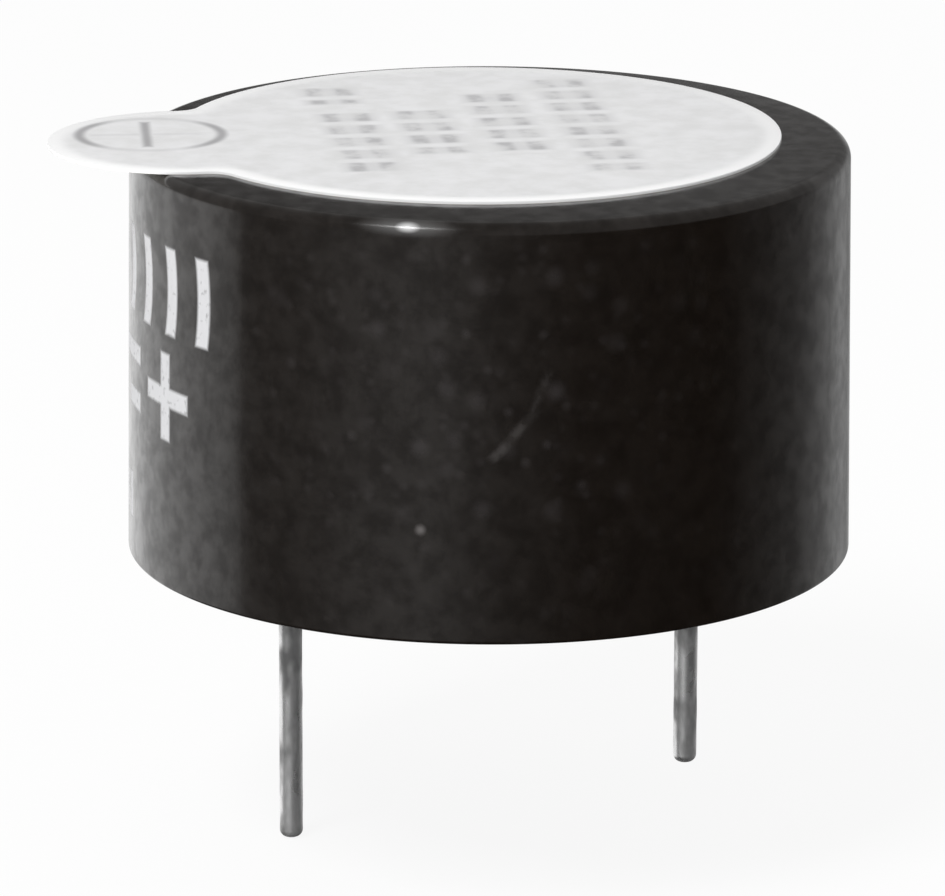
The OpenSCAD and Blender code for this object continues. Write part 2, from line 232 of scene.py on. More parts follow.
# %% [markdown]
# ## The studio
# Black plastic has hardly any colour of its own: its look is what it mirrors. The photograph shows
# a bright wall on the left and behind, a dim room in front and a weaker light on the right. A ring
# of real cards round the object could do that, but a world is lighter and has no edges to hide.
# So the studio is a ramp by compass direction, under a dim ceiling and over a dark ground.

# %% The studio in a mirror
STUDIO = [
    # degrees round from the camera, left is negative, and the level there
    (-180, 1.00), (-160, 1.06), (-125, 1.00), (-98, 0.93), (-89, 0.80), (-84, 0.20),
    (-62, 0.24), (-40, 0.41), (-18, 0.47), (2, 0.20), (28, 0.06), (76, 0.02),
    (98, 0.12), (116, 0.20), (128, 0.34), (150, 0.48), (165, 0.22), (180, 1.00),
]
STUDIO_TOP = 1.2
CEILING, BEHIND_LEFT, BEHIND_RIGHT, GROUND = 0.32, 0.108, 0.15, 0.1
# where one part of the studio gives way to the next, as a share of the direction's length
CEILING_FROM, BEHIND_FROM, BEHIND_SPLIT = (-0.03, 0.15), (0.8, 0.95), (-0.03, 0.05)
GROUND_TO = (-0.62, -0.4)

world = bpy.data.worlds.new("studio")
bpy.context.scene.world = world
studio = Finish(world)
facing = studio.node("ShaderNodeTexCoord", out="Generated")
east = studio.node("ShaderNodeSeparateXYZ", None, {0: facing})
north, upward = east.also("Y"), east.also("Z")
compass = 0.5 + east.math("ARCTAN2", east, 0 - north) / (2 * math.pi)
stops = [(0.5 + turn / 360, (glow / STUDIO_TOP,) * 3 + (1,)) for turn, glow in STUDIO]
walls = STUDIO_TOP * studio.node("ShaderNodeValToRGB", {"stops": stops}, {"Fac": compass})
behind = level(rise(east, *BEHIND_SPLIT), BEHIND_LEFT, BEHIND_RIGHT)
above = level(rise(north, *BEHIND_FROM), CEILING, behind)
beneath = level(rise(upward, *GROUND_TO), GROUND, 1)
overhead = rise(upward, *CEILING_FROM)
mirrored = walls * beneath * (1 - overhead) + above * overhead
print("studio:", len(STUDIO), "stops round the compass")

# %% [markdown]
# Rays that leave the scene ask the world for light, and each kind may get its own answer. The
# camera sees plain white, mirror-like surfaces see the studio, and dull surfaces get an even fill.
# One picture of a room could serve all three, but then the white background would also wash out the
# black plastic.

# %% The world's three faces
FILL = 0.55
PURE_WHITE = (1, 1, 1, 1)

ray = studio.node("ShaderNodeLightPath", out="Is Camera Ray")
seen = ray | ray.also("Is Transmission Ray")
unseen = level(ray.also("Is Glossy Ray"), FILL, mirrored)
strength = level(seen, unseen, 1)
sky = studio.node("ShaderNodeBackground", None, {"Color": PURE_WHITE, "Strength": strength})
studio.node("ShaderNodeOutputWorld", None, {"Surface": sky})
print("world:", len(studio.tree.nodes), "nodes, fill", FILL)

# %% [markdown]
# The floor is one white sheet at the tip of the longer pin. It shows its own brightness to the
# camera, mixed with real light so that the shadow stays, and it is left out of mirror images,
# because the studio already gives those. A shadow catcher would do this too, but only with a
# compositor behind it. The sheet's back is clear, so the underside can be looked at from below.

# %% The floor
FLOOR_HALF, FLOOR_DROP, FLOOR_GLOW = 1.5, 0.02 * MM, 0.9
FLOOR_PAPER = (0.95, 0.95, 0.95, 1)


def new_finish(name):
    return Finish(bpy.data.materials.new(name + "_finish"))


floor_z = cad_box[0].z - FLOOR_DROP
corners = [(-1, -1), (1, -1), (1, 1), (-1, 1)]
places = [(FLOOR_HALF * a, FLOOR_HALF * b, floor_z) for a, b in corners]
sheet = bpy.data.meshes.new("floor")
sheet.from_pydata(places, [], [(0, 1, 2, 3)])
floor = bpy.data.objects.new("floor", sheet)
bpy.context.scene.collection.objects.link(floor)
floor.visible_glossy = False

paper = new_finish("floor_paper")
camera_ray = paper.node("ShaderNodeLightPath", out="Is Camera Ray")
lit = paper.node("ShaderNodeBsdfDiffuse", None, {"Color": FLOOR_PAPER})
glow = paper.node("ShaderNodeEmission", None, {"Color": PURE_WHITE, "Strength": 1})
front = paper.node("ShaderNodeMixShader", None, {0: camera_ray * FLOOR_GLOW, 1: lit, 2: glow})
clear = paper.node("ShaderNodeBsdfTransparent")
below = paper.node("ShaderNodeNewGeometry", out="Backfacing")
both = paper.node("ShaderNodeMixShader", None, {0: below, 1: front, 2: clear})
paper.node("ShaderNodeOutputMaterial", None, {"Surface": both})
sheet.materials.append(paper.owner)
print("floor at", round(floor_z / MM, 2), "mm")

# %% [markdown]
# Two lamps stand at the front left, in the same direction. The wide one is soft: it lights the
# label and lays the shadow to the back right, but mirrors don't see it. The small one is seen by
# mirrors only, and draws a thin glint along the rounded edge of the case; a painted glint in the
# case's finish gives its brightest spot. One lamp could do both jobs, but its shadow and its glint
# would always share one size.

# %% The lamps
LAMP_TURN_DEG, LAMP_HEIGHT_DEG, LAMP_REACH = -33, 50, 0.5
KEY_SIZE, KEY_WATTS = 0.16, 1.5
SPARK_SIZE, SPARK_WATTS = 0.06, 0.5

lamp_turn, lamp_height = math.radians(LAMP_TURN_DEG), math.radians(LAMP_HEIGHT_DEG)
lamp_way = Vector((
    math.sin(lamp_turn) * math.cos(lamp_height),
    -math.cos(lamp_turn) * math.cos(lamp_height),
    math.sin(lamp_height),
))


def lamp(name, size, watts):
    made = bpy.data.objects.new(name, bpy.data.lights.new(name, "AREA"))
    bpy.context.scene.collection.objects.link(made)
    made.location = CASE_MIDDLE + LAMP_REACH * lamp_way
    made.rotation_euler = (-lamp_way).to_track_quat("-Z", "Y").to_euler()
    made.data.size, made.data.energy = size, watts
    print(name, "lamp:", watts, "W")
    return made


lamp("key", KEY_SIZE, KEY_WATTS).visible_glossy = False
lamp("spark", SPARK_SIZE, SPARK_WATTS).visible_diffuse = False

# %% [markdown]
# ## Skins from rings
# The outside pieces are round or have one smooth outline, and the frame's own facets would show on
# their shiny edges. They are made again here, at the same sizes, with finer facets and with the
# small edge radii that moulding, cutting and drawing leave. A lathe modifier could turn a profile,
# but a case has ribs and a label has a tab. So every piece is a stack of rings with the same
# number of points, joined by quads. A ring of one point is a pole, where the skin closes.

# %% From rings to a piece
SHARP_DEG = 35
WELD = 1e-7


def skin(name, rings, node, loop=False):
    """A closed piece from rings of points in mm, which stands for a CAD node."""
    shape = bmesh.new()
    rows = [[shape.verts.new(MM * Vector(point)) for point in ring] for ring in rings]
    pairs = list(zip(rows, rows[1:])) + ([(rows[-1], rows[0])] if loop else [])
    for low, high in pairs:
        count = max(len(low), len(high))
        for i in range(count):
            j = (i + 1) % count
            lower = [low[i], low[j]] if len(low) > 1 else [low[0]]
            upper = [high[j], high[i]] if len(high) > 1 else [high[0]]
            shape.faces.new(lower + upper)
    bmesh.ops.remove_doubles(shape, verts=shape.verts, dist=WELD)
    bmesh.ops.recalc_face_normals(shape, faces=shape.faces)
    mesh = bpy.data.meshes.new(name)
    shape.to_mesh(mesh)
    shape.free()
    mesh.polygons.foreach_set("use_smooth", [True] * len(mesh.polygons))
    mesh.set_sharp_from_angle(angle=math.radians(SHARP_DEG))
    piece = bpy.data.objects.new(name, mesh)
    bpy.context.scene.collection.objects.link(piece)
    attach(piece, "root")
    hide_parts(node)
    print(name, "stands for", node, "with", len(mesh.polygons), "faces")
    return piece


print("skins: edges over", SHARP_DEG, "degrees stay sharp")

# %% [markdown]
# ## The case
# The case is one moulded cup, open at the bottom. Its wall leans in by the mould's draft, so that
# it drops out of the mould, and its top edge is rounded. It could be cut from a cylinder by
# booleans, but those leave ragged shading. So the wall is worked out first: how far out it stands
# at each height, and where the rounded edge has its centre.

# %% The case's wall
BASE_R, TOP_R, CASE_H, WALL_T, EDGE_R = 11.5, 11.35, 13.1, 1.2, 0.4


def outer_r(z):
    return BASE_R - (BASE_R - TOP_R) * z / CASE_H


def bore_r(z):
    return outer_r(z) - WALL_T


slant_deg = math.degrees(math.atan2(BASE_R - TOP_R, CASE_H))
edge_z = CASE_H - EDGE_R
edge_x = outer_r(edge_z) - EDGE_R / math.cos(math.radians(slant_deg))
print("wall draft:", round(slant_deg, 2), "degrees, edge centre at", round(edge_x, 3), "mm")

# %% [markdown]
# Inside, the case has the sound port, the seat ring for the sounder and four ribs that stop the
# board. Its profile runs once round the cut wall, from the rim up the outside, in through the port
# and down the inside. Where a rib stands, the profile steps inwards. A separate box for each rib
# would be quicker to place, but it would lie inside the wall instead of growing out of it.

# %% The case's profile
ROOF_Z, BOARD_TOP, EDGE_STEPS = 11.9, 3.5, 12
RIM_EDGE_R, RIM_OUT_STEPS, RIM_IN_STEPS = 0.12, 8, 3
PORT_R, PORT_EDGE_R, PORT_EDGE_STEPS = 1.3, 0.1, 4
SEAT_IN_R, SEAT_OUT_R, SEAT_Z = 5.85, 6.75, 9.9
RIB_IN_R, RIB_HALF_DEG, RIB_TURN_DEG, RIB_COUNT = 9.46, 3.64, 45, 4


def arc(centre, radius, start_deg, end_deg, steps):
    """Points round a centre, both ends included."""
    sweep = end_deg - start_deg
    turns = [math.radians(start_deg + sweep * i / steps) for i in range(steps + 1)]
    return [(centre[0] + radius * math.cos(a), centre[1] + radius * math.sin(a)) for a in turns]


def case_profile(turn_deg):
    """Radius and height round the cut wall, at one turn."""
    apart = 360 / RIB_COUNT
    from_rib = (turn_deg - RIB_TURN_DEG + apart / 2) % apart - apart / 2
    on_rib = abs(from_rib) < RIB_HALF_DEG
    roof_r, board_r = (RIB_IN_R, RIB_IN_R) if on_rib else (bore_r(ROOF_Z), bore_r(BOARD_TOP))
    rim_in, port_out = bore_r(0) + RIM_EDGE_R, PORT_R + PORT_EDGE_R
    return (
        arc((BASE_R - RIM_EDGE_R, RIM_EDGE_R), RIM_EDGE_R, -90, 0, RIM_OUT_STEPS)
        + arc((edge_x, edge_z), EDGE_R, slant_deg, 90, EDGE_STEPS)
        + arc((port_out, CASE_H - PORT_EDGE_R), PORT_EDGE_R, 90, 180, PORT_EDGE_STEPS)
        + [(PORT_R, ROOF_Z), (SEAT_IN_R, ROOF_Z), (SEAT_IN_R, SEAT_Z)]
        + [(SEAT_OUT_R, SEAT_Z), (SEAT_OUT_R, ROOF_Z)]
        + [(roof_r, ROOF_Z), (board_r, BOARD_TOP), (bore_r(BOARD_TOP), BOARD_TOP)]
        + arc((rim_in, RIM_EDGE_R), RIM_EDGE_R, 180, 270, RIM_IN_STEPS)
    )


print("case profile:", len(case_profile(0)), "points")

# %% [markdown]
# The profile is then taken at many turns round the axis. A rib's flank is upright, so two turns lie
# close together on each side of every flank: one still on the rib and the next one off it.

# %% The moulded case
CASE_SIDES, RIB_SIDE_DEG = 240, 0.05

case_turns = [360 * i / CASE_SIDES for i in range(CASE_SIDES)]
for rib in range(RIB_COUNT):
    for side in (-1, 1):
        flank = RIB_TURN_DEG + 360 / RIB_COUNT * rib + side * RIB_HALF_DEG
        case_turns += [flank - RIB_SIDE_DEG, flank + RIB_SIDE_DEG]
case_turns.sort()
case_rows = [(math.radians(turn), case_profile(turn)) for turn in case_turns]
case_rings = [
    [(row[i][0] * math.cos(a), row[i][0] * math.sin(a), row[i][1]) for a, row in case_rows]
    for i in range(len(case_rows[0][1]))
]
moulded_case = skin("moulded_case", case_rings, "case", loop=True)

# %% [markdown]
# ## Printing on the wall
# The wall carries white pad printing on the side of the tab: a round sounder that sends out waves,
# the direct current sign between two plus signs, and a row of ticks. Print has no thickness to
# speak of, so it is a mask in the wall's own finish and not a piece of mesh. Two more tools draw
# it: `band` is a stripe with soft edges, and `reach` is the distance from a centre.

# %% Stripes and distances
WALL_R = 11.42


def band(value, centre, half, soft):
    """1 within half of centre, 0 outside, with edges as soft as given."""
    return 1 - rise(abs(value - centre), half - soft, half + soft)


def reach(u, v, at=(0, 0)):
    """Distance of the point u, v from a centre."""
    return ((u - at[0]) ** 2 + (v - at[1]) ** 2) ** 0.5


def unrolled(x, y):
    """How far round the wall a point is from the tab's middle, in mm."""
    return WALL_R * x.math("ARCTAN2", 0 - y, 0 - x)


print("the wall unrolls to", round(2 * math.pi * WALL_R, 1), "mm")

# %% [markdown]
# The wall is unrolled, as a pad printer sees it: `along` runs round it from the tab's middle, and z
# goes up. The waves are rings round the sounder, cut off above and below. Each could be a stripe of
# its own, but the remainder of a division repeats one stripe at every step outwards.

# %% Waves on the wall
STROKE, SOFT = 0.3, 0.08
WAVE_Z, WAVE_HALF_H, WAVE_STEP, WAVE_COUNT = 9.57, 1.38, 1.77, 5


def wave_marks(along, z):
    out = reach(along, z, (0, WAVE_Z))
    step = abs(out.math("FLOORED_MODULO", out, WAVE_STEP) - WAVE_STEP / 2)
    arcs = 1 - rise(step, STROKE - SOFT, STROKE + SOFT)
    within = 1 - rise(abs(along), WAVE_STEP * WAVE_COUNT, WAVE_STEP * WAVE_COUNT + SOFT)
    return arcs & band(z, WAVE_Z, WAVE_HALF_H, SOFT) & within


print(WAVE_COUNT, "waves,", WAVE_STEP, "mm apart")

# %% [markdown]
# Below the waves stands the direct current sign, a full line over a dashed one, with a plus on each
# side and a row of ticks under it. They lie the same way to the left and to the right, so a plus is
# drawn once and mirrored, and a ping-pong folds the dashes and the ticks onto one of their kind.

# %% Signs and ticks on the wall
SIGN_Z, SIGN_HALF_W, SIGN_RISE = 6.17, 3.5, 0.75
DASH_STEP, DASH_HALF = 2.7, 0.8
PLUS_AT, PLUS_HALF = 5.7, 1.39
TICK_Z, TICK_HALF_H, TICK_STEP, TICK_HALF_W, TICK_HALF_ROW = 2.15, 0.75, 1.1, 0.24, 2.75


def current_sign(along, z):
    """A full line over a dashed one."""
    beat = along.math("PINGPONG", along, DASH_STEP / 2)
    full = band(z, SIGN_Z + SIGN_RISE, STROKE, SOFT)
    dashed = band(z, SIGN_Z - SIGN_RISE, STROKE, SOFT) & band(beat, 0, DASH_HALF, SOFT)
    return (full | dashed) & band(along, 0, SIGN_HALF_W, SOFT)


def plus_signs(along, z):
    side = abs(along) - PLUS_AT
    standing = band(side, 0, STROKE, SOFT) & band(z, SIGN_Z, PLUS_HALF, SOFT)
    lying = band(side, 0, PLUS_HALF, SOFT) & band(z, SIGN_Z, STROKE, SOFT)
    return standing | lying


def tick_marks(along, z):
    beat = along.math("PINGPONG", along, TICK_STEP / 2)
    strokes = band(beat, 0, TICK_HALF_W, SOFT) & band(z, TICK_Z, TICK_HALF_H, SOFT)
    return strokes & band(along, 0, TICK_HALF_ROW, SOFT)


def wall_marks(along, z):
    signs = current_sign(along, z) | plus_signs(along, z)
    return wave_marks(along, z) | signs | tick_marks(along, z)


print("wall rows at z =", WAVE_Z, SIGN_Z, TICK_Z, "mm")

# %% [markdown]
# ## Colours
# A shader works with linear light, but the eye and every colour chart use sRGB, where the dark
# shades have more room. Colours could be typed in as linear numbers, but nobody can read those. So
# they are written from 0 to 255, as on a chart, and turned into linear ones here. `paint` lays one
# colour over another by a mask.

# %% Colours
def linear(shade):
    """An sRGB level from 0 to 255 as a linear one."""
    s = shade / 255
    return s / 12.92 if s <= 0.04045 else ((s + 0.055) / 1.055) ** 2.4


def colour(red, green, blue):
    return (linear(red), linear(green), linear(blue), 1)


def grey(shade):
    return colour(shade, shade, shade)


def paint(mask, under, over):
    """The colour under, covered by over where the mask is 1."""
    inputs = {0: mask, 6: under, 7: over}
    return mask.finish.node("ShaderNodeMix", {"data_type": "RGBA"}, inputs, out=2)


print("middle grey 128 is", round(linear(128), 3), "in linear light")

# %% [markdown]
# ## Patterns
# Every pattern starts from the point's own place in millimetres, so its size on the object is the
# size that is typed, and it stays put when the view turns. `noise` gives clouds, `blotches` gives
# clouds with more contrast, and `bump` makes the light believe that a pattern has depth. Image
# textures would need unwrapped meshes; these need nothing but the place.

# %% Places and patterns
def millimetres(finish):
    """The x, y and z of a point of the CAD frame, in mm, and the same as one vector."""
    place = finish.node("ShaderNodeTexCoord", out="Object")
    inputs = {0: place, "Scale": 1 / MM}
    scaled = finish.node("ShaderNodeVectorMath", {"operation": "SCALE"}, inputs)
    x = finish.node("ShaderNodeSeparateXYZ", None, {0: scaled})
    return x, x.also("Y"), x.also("Z"), scaled


def noise(vector, scale, detail=3, rough=0.55):
    inputs = {"Vector": vector, "Scale": scale, "Detail": detail, "Roughness": rough}
    return vector.finish.node("ShaderNodeTexNoise", None, inputs)


def blotches(vector, low, high, **pattern):
    """Noise with more contrast: 0 where it is below low, 1 where it is above high."""
    return rise(noise(vector, **pattern), low, high)


def bump(height, depth_mm, strength):
    """Turns a height from 0 to 1 into a surface that leans, depth_mm deep."""
    inputs = {"Strength": strength, "Distance": depth_mm * MM, "Height": height}
    return height.finish.node("ShaderNodeBump", None, inputs, out="Normal")


def close(finish, **sockets):
    """Ends a material with the main shader. An underscore in a name stands for a space."""
    named = {name.replace("_", " "): value for name, value in sockets.items()}
    shader = finish.node("ShaderNodeBsdfPrincipled", None, named)
    finish.node("ShaderNodeOutputMaterial", None, {"Surface": shader})
    print("finish:", finish.owner.name, len(finish.tree.nodes), "nodes")
    return finish.owner


print("patterns are measured in mm:", 1 / MM, "to the metre")

# %% [markdown]
# ## Marks of use
# Handling leaves a few fine scratches and one small chip on the wall. They could be cut into the
# mesh, but they are far thinner than a hair. So they are soft masks, each at its own place: a
# scratch is a leaning stripe that noise breaks up along its length, and the chip is a soft spot.

# %% Scratches and a chip
SCRATCHES = [
    # middle along the wall, middle height, lean in degrees, half length in mm, and how pale it is
    (18.72, 6.6, 49, 0.9, 0.16),
    (18.2, 6.0, 49, 0.1, 0.2),
    (19.49, 7.85, 71, 0.63, 0.08),
]
SCRATCH_HALF, SCRATCH_END, SCRATCH_END_SOFT = 0.12, 0.1, 0.2
CHIP_AT, CHIP_R, CHIP_PALE = (15.87, 3.58), 0.24, 0.6


def leaning(u, v, degrees):
    """u and v in axes that are turned by some degrees."""
    a = math.radians(degrees)
    return u * math.cos(a) + v * math.sin(a), v * math.cos(a) - u * math.sin(a)


def scratch(along, z, middle, height, lean_deg, half, pale):
    run, off = leaning(along - middle, z - height, lean_deg)
    line = band(off, 0, SCRATCH_HALF, SCRATCH_HALF)
    return pale * (line & band(run, 0, half + SCRATCH_END, SCRATCH_END_SOFT))


def scratches(along, z, place):
    """All scratches, broken up along their length, and the chip."""
    lines = scratch(along, z, *SCRATCHES[0])
    for mark in SCRATCHES[1:]:
        lines = lines | scratch(along, z, *mark)
    broken = level(blotches(place, scale=2.0, low=0.4, high=0.6), 0.3, 1)
    chip = 1 - rise(reach(along, z, CHIP_AT), 0, CHIP_R)
    return lines * broken | chip * CHIP_PALE


print(len(SCRATCHES), "scratches and a chip of", CHIP_R, "mm")

# %% [markdown]
# Dust settles most where the case is held, and one spot of the rounded edge gets a painted glint.
# Noise with a threshold makes flakes with ragged edges, so dust is a round spot in each cell of a
# random pattern, some pale and some hardly there. The painted glint is a small pale ellipsoid with
# a faint halo, laid along the edge where the lamp's highlight falls.

# %% Dust and a painted glint
HANDLED_AT, HANDLED_IN, HANDLED_OUT = (16.5, 8.0), 2.0, 9.0
SMALL_DUST, CLEAN_DUST, SCUFF_DUST = 0.7, 0.15, 0.5
GLINT_AT, GLINT_Z, GLINT_TURN_DEG = (-2.45, -11.0), 12.92, -13
# half sizes of the painted glint along the edge, across it and up
GLINT_CORE, GLINT_HALO, GLINT_HALO_PALE = (0.55, 0.4, 0.22), (1.9, 0.6, 0.34), 0.16


def specks(place, scale, size):
    """Round soft spots, one in each cell of a random pattern."""
    far = place.finish.node("ShaderNodeTexVoronoi", None, {"Vector": place, "Scale": scale})
    chance = place.finish.node("ShaderNodeSeparateColor", None, {0: far.also("Color")})
    return (1 - rise(far, 0, size)) * chance


def settled_dust(along, z, place, scuff):
    """Specks that gather where the case is held and where it is scuffed."""
    handled = 1 - rise(reach(along, z, HANDLED_AT), HANDLED_IN, HANDLED_OUT)
    small = specks(place, scale=1.7, size=0.42) * SMALL_DUST
    dust = specks(place, scale=0.95, size=0.44) + small
    return dust * level(handled | scuff * SCUFF_DUST, CLEAN_DUST, 1)


def painted_glint(x, y, z, size):
    """A soft painted glint on the rounded edge, 1 in its middle."""
    run, off = leaning(x - GLINT_AT[0], y - GLINT_AT[1], GLINT_TURN_DEG)
    flat = reach(run / size[0], off / size[1])
    return 1 - rise(reach(flat, (z - GLINT_Z) / size[2]), 0, 1)


print("rubbed spot:", [2 * half for half in GLINT_CORE], "mm along, across and up")

# %% [markdown]
# ## Black moulded plastic
# The case is moulded in black plastic with a low gloss. It is never one flat black: the skin
# mottles where the melt cooled, and pale scuffs gather where it was held. Gloss could be painted
# on, but then it would stick to the surface as the view turns. So colour and roughness vary only a
# little, a thin coat comes and goes with the mottling, and the studio does the rest, apart from one
# painted glint on the rounded edge.

# %% Case plastic
PLASTIC_DARK, PLASTIC_PALE = colour(18, 13, 9), colour(23, 17, 12)
DUST, SCRATCHED = colour(74, 70, 71), colour(120, 116, 115)
GLINT_PALE, WHITE_INK = grey(208), colour(216, 216, 218)
DUST_COVER, SCUFF_DULL, INK_DULL, GRAIN_SHARE = 0.34, 0.06, 0.3, 0.3


def case_plastic():
    finish = new_finish("case_plastic")
    x, y, z, place = millimetres(finish)
    along = unrolled(x, y)
    mottle = blotches(place, scale=1.3, detail=5, rough=0.6, low=0.32, high=0.68)
    scuff = blotches(place, scale=0.7, detail=4, rough=0.6, low=0.45, high=0.75)
    worn = blotches(place, scale=4, detail=4, low=0.55, high=0.75)
    ink = wall_marks(along, z) * level(worn, 1, 0.5)
    # painted glint: a pale patch on the rounded edge, where the spark lamp's highlight falls
    glint_mask = painted_glint(x, y, z, GLINT_CORE) | painted_glint(x, y, z, GLINT_HALO) * GLINT_HALO_PALE
    tint = paint(mottle, PLASTIC_DARK, PLASTIC_PALE)
    tint = paint(settled_dust(along, z, place, scuff) * DUST_COVER, tint, DUST)
    tint = paint(scratches(along, z, place), tint, SCRATCHED)
    tint = paint(glint_mask, tint, GLINT_PALE)
    tint = paint(ink, tint, WHITE_INK)
    relief = level(GRAIN_SHARE, mottle, noise(place, scale=9, detail=2))
    return close(
        finish,
        Base_Color=tint,
        Roughness=level(mottle, 0.15, 0.2) + SCUFF_DULL * scuff + INK_DULL * ink,
        Normal=bump(relief, depth_mm=0.012, strength=0.15),
        IOR=1.4,
        Coat_Weight=level(mottle, 0.16, 0.7) * (1 - ink),
        Coat_Roughness=0.15,
    )


moulded_case.data.materials.append(case_plastic())

# %% [markdown]
# ## The wash label
# The label is a thin white film, cut as a disc with a round tab that hangs over the rim, so that it
# can be peeled off. Two cylinders could be joined by a boolean, but a cutter's knife can't turn a
# sharp inner corner. Its outline is four arcs that run into each other: the disc, the tab and two
# hollow corners beside it.

# %% The label's outline
LABEL_R, TAB_REACH, TAB_R, NECK_R = 9.6, 9.3, 4.3, 0.8
DISC_STEPS, TAB_STEPS, NECK_STEPS = 180, 72, 12

neck_x = (TAB_REACH**2 + (LABEL_R + NECK_R) ** 2 - (TAB_R + NECK_R) ** 2) / (2 * TAB_REACH)
neck_y = math.sqrt((LABEL_R + NECK_R) ** 2 - neck_x**2)
disc_deg = math.degrees(math.atan2(neck_y, neck_x))
tab_deg = math.degrees(math.atan2(neck_y, neck_x - TAB_REACH))


def label_outline(inset):
    """The label's edge in mm, moved in by inset, with the tab on +X and the disc at the origin."""
    hollow_r = NECK_R + inset
    left = arc((neck_x, neck_y), hollow_r, tab_deg + 180, disc_deg + 180, NECK_STEPS)
    right = arc((neck_x, -neck_y), hollow_r, 180 - disc_deg, 180 - tab_deg, NECK_STEPS)
    return (
        arc((TAB_REACH, 0), TAB_R - inset, -tab_deg, tab_deg, TAB_STEPS)
        + left[1:-1]
        + arc((0, 0), LABEL_R - inset, disc_deg, 360 - disc_deg, DISC_STEPS)
        + right[1:-1]
    )


print("label outline:", len(label_outline(0)), "points, tab meets disc at", round(disc_deg, 1))

# %% [markdown]
# The film's rings follow that outline: the flat underside, the upright cut, a small rounding at the
# top of the cut, which the knife leaves, and then smaller and smaller rings to the middle.

# %% The cut label
LABEL_AT, LABEL_TURN_DEG, LABEL_T = (-0.4, 0.8), 189, 0.1
CUT_R = 0.03
CUT_MID = 0.3 * CUT_R
FILM_SHARES = (0.93, 0.8, 0.6, 0.4, 0.2)


def laid(points, height):
    """Points of the label's own plane, turned and moved to their place on the case."""
    a = math.radians(LABEL_TURN_DEG)
    turned = [
        (u * math.cos(a) - v * math.sin(a), u * math.sin(a) + v * math.cos(a)) for u, v in points
    ]
    return [(LABEL_AT[0] + x, LABEL_AT[1] + y, CASE_H + height) for x, y in turned]


middle, outline, inner = [(0, 0)], label_outline(0), label_outline(CUT_R)
label_rings = [
    laid(middle, 0),
    laid(outline, 0),
    laid(outline, LABEL_T - CUT_R),
    laid(label_outline(CUT_MID), LABEL_T - CUT_MID),
    laid(inner, LABEL_T),
]
label_rings += [laid([(s * u, s * v) for u, v in inner], LABEL_T) for s in FILM_SHARES]
label_rings += [laid(middle, LABEL_T)]
cut_label = skin("cut_label", label_rings, "wash_label")

# %% [markdown]
# ## The label's painted edge highlight and sign
# The cutter squeezes the film, so its edge catches more light than its face, and a painted
# highlight
# runs along it. It follows the outline: the distance inside the disc and inside the tab is worked
# out, and a smooth maximum joins the two in the way the hollow corners do. The tab carries a ringed
# plus over the positive pin, thinner where the print is worn.

# %% Painted edge highlight and ringed plus
NECK_BLEND = 0.7
RING_AT, RING_R, RING_HALF, RING_SOFT = (-10.69, 0.18), 2.25, 0.16, 0.14
RING_THIN, RING_HEAVY, THIN_PALE, CROSS_PALE = 0.4 * RING_R, 0.9 * RING_R, 0.25, 0.2
BAR_SHIFT, BAR_LEAN_DEG, BAR_HALF, BAR_STROKE = -0.14, 4.7, 1.75, 0.14
BAR_END_SOFT, BAR_SOFT = 0.2, 0.12


def label_depth(x, y):
    """How far inside the label's outline a point is, in mm."""
    disc_in = LABEL_R - reach(x, y, LABEL_AT)
    tab_in = TAB_R - reach(x, y, laid([(TAB_REACH, 0)], 0)[0])
    return disc_in.math("SMOOTH_MAX", disc_in, tab_in, NECK_BLEND)


def ringed_plus(x, y):
    ring = band(reach(x, y, RING_AT), RING_R, RING_HALF, RING_SOFT)
    heavy = rise(abs(x - RING_AT[0]), RING_THIN, RING_HEAVY)
    u, v = leaning(x - RING_AT[0] - BAR_SHIFT, y - RING_AT[1], BAR_LEAN_DEG)
    bar = band(v, 0, BAR_HALF, BAR_END_SOFT) & band(u, 0, BAR_STROKE, BAR_SOFT)
    cross = band(u, 0, BAR_HALF, BAR_END_SOFT) & band(v, 0, BAR_STROKE, BAR_SOFT)
    return ring * level(heavy, THIN_PALE, 1) | bar | cross * CROSS_PALE


print("ringed plus at", RING_AT, "mm, radius", RING_R, "mm")

# %% [markdown]
# Rows of grey print run across the disc: plain blocks, each of two strokes of ink that have begun
# to rub off. They could be cut from mesh, but ink lies in the film and has no edge of its own. A
# ping-pong along the row parts the blocks, and another one across it parts the strokes.

# %% Rows of ink
ROW_LEAN_DEG = 8
ROWS = [
    # place across the rows, start and end along the row, in mm
    (-4.30, -8.0, -5.3),
    (-4.15, -4.2, 4.5),
    (-1.75, -4.3, 2.1),
    (0.80, -6.5, 2.4),
    (3.35, -8.4, 5.05),
]
BLOCK_HALF_H, BLOCK_SOFT, ROW_END_SOFT = 0.95, 0.25, 0.2
BLOCK_PITCH, BLOCK_FROM, BLOCK_FULL = 1.75, 0.105, 0.455
PEN_PITCH, PEN_FROM, PEN_FULL, PEN_PALE = 0.95, 0.095, 0.38, 0.4


def ink_rows(x, y, place):
    across, ahead = leaning(x, y, ROW_LEAN_DEG)
    along = 0 - ahead
    inked = None
    for middle, start, end in ROWS:
        beat = along.math("PINGPONG", along - start, BLOCK_PITCH / 2)
        pen = across.math("PINGPONG", across - middle, PEN_PITCH / 2)
        blocks = rise(beat, BLOCK_FROM, BLOCK_FULL) & band(across, middle, BLOCK_HALF_H, BLOCK_SOFT)
        ends = band(along, (start + end) / 2, (end - start) / 2, ROW_END_SOFT)
        row = (blocks & ends) * level(rise(pen, PEN_FROM, PEN_FULL), PEN_PALE, 1)
        inked = row if inked is None else inked | row
    worn = blotches(place, scale=0.9, rough=0.6, low=0.34, high=0.64)
    return inked * level(worn, 0.25, 1)


print("ink:", len(ROWS), "runs of blocks")

# %% [markdown]
# The film itself is nearly flat white, with a slight wave from the adhesive below. Its underside,
# seen below the tab, carries the adhesive: a little yellower, glossier and streaked, with no print.
# Two materials could share the piece, but a mask by height keeps both in one finish.

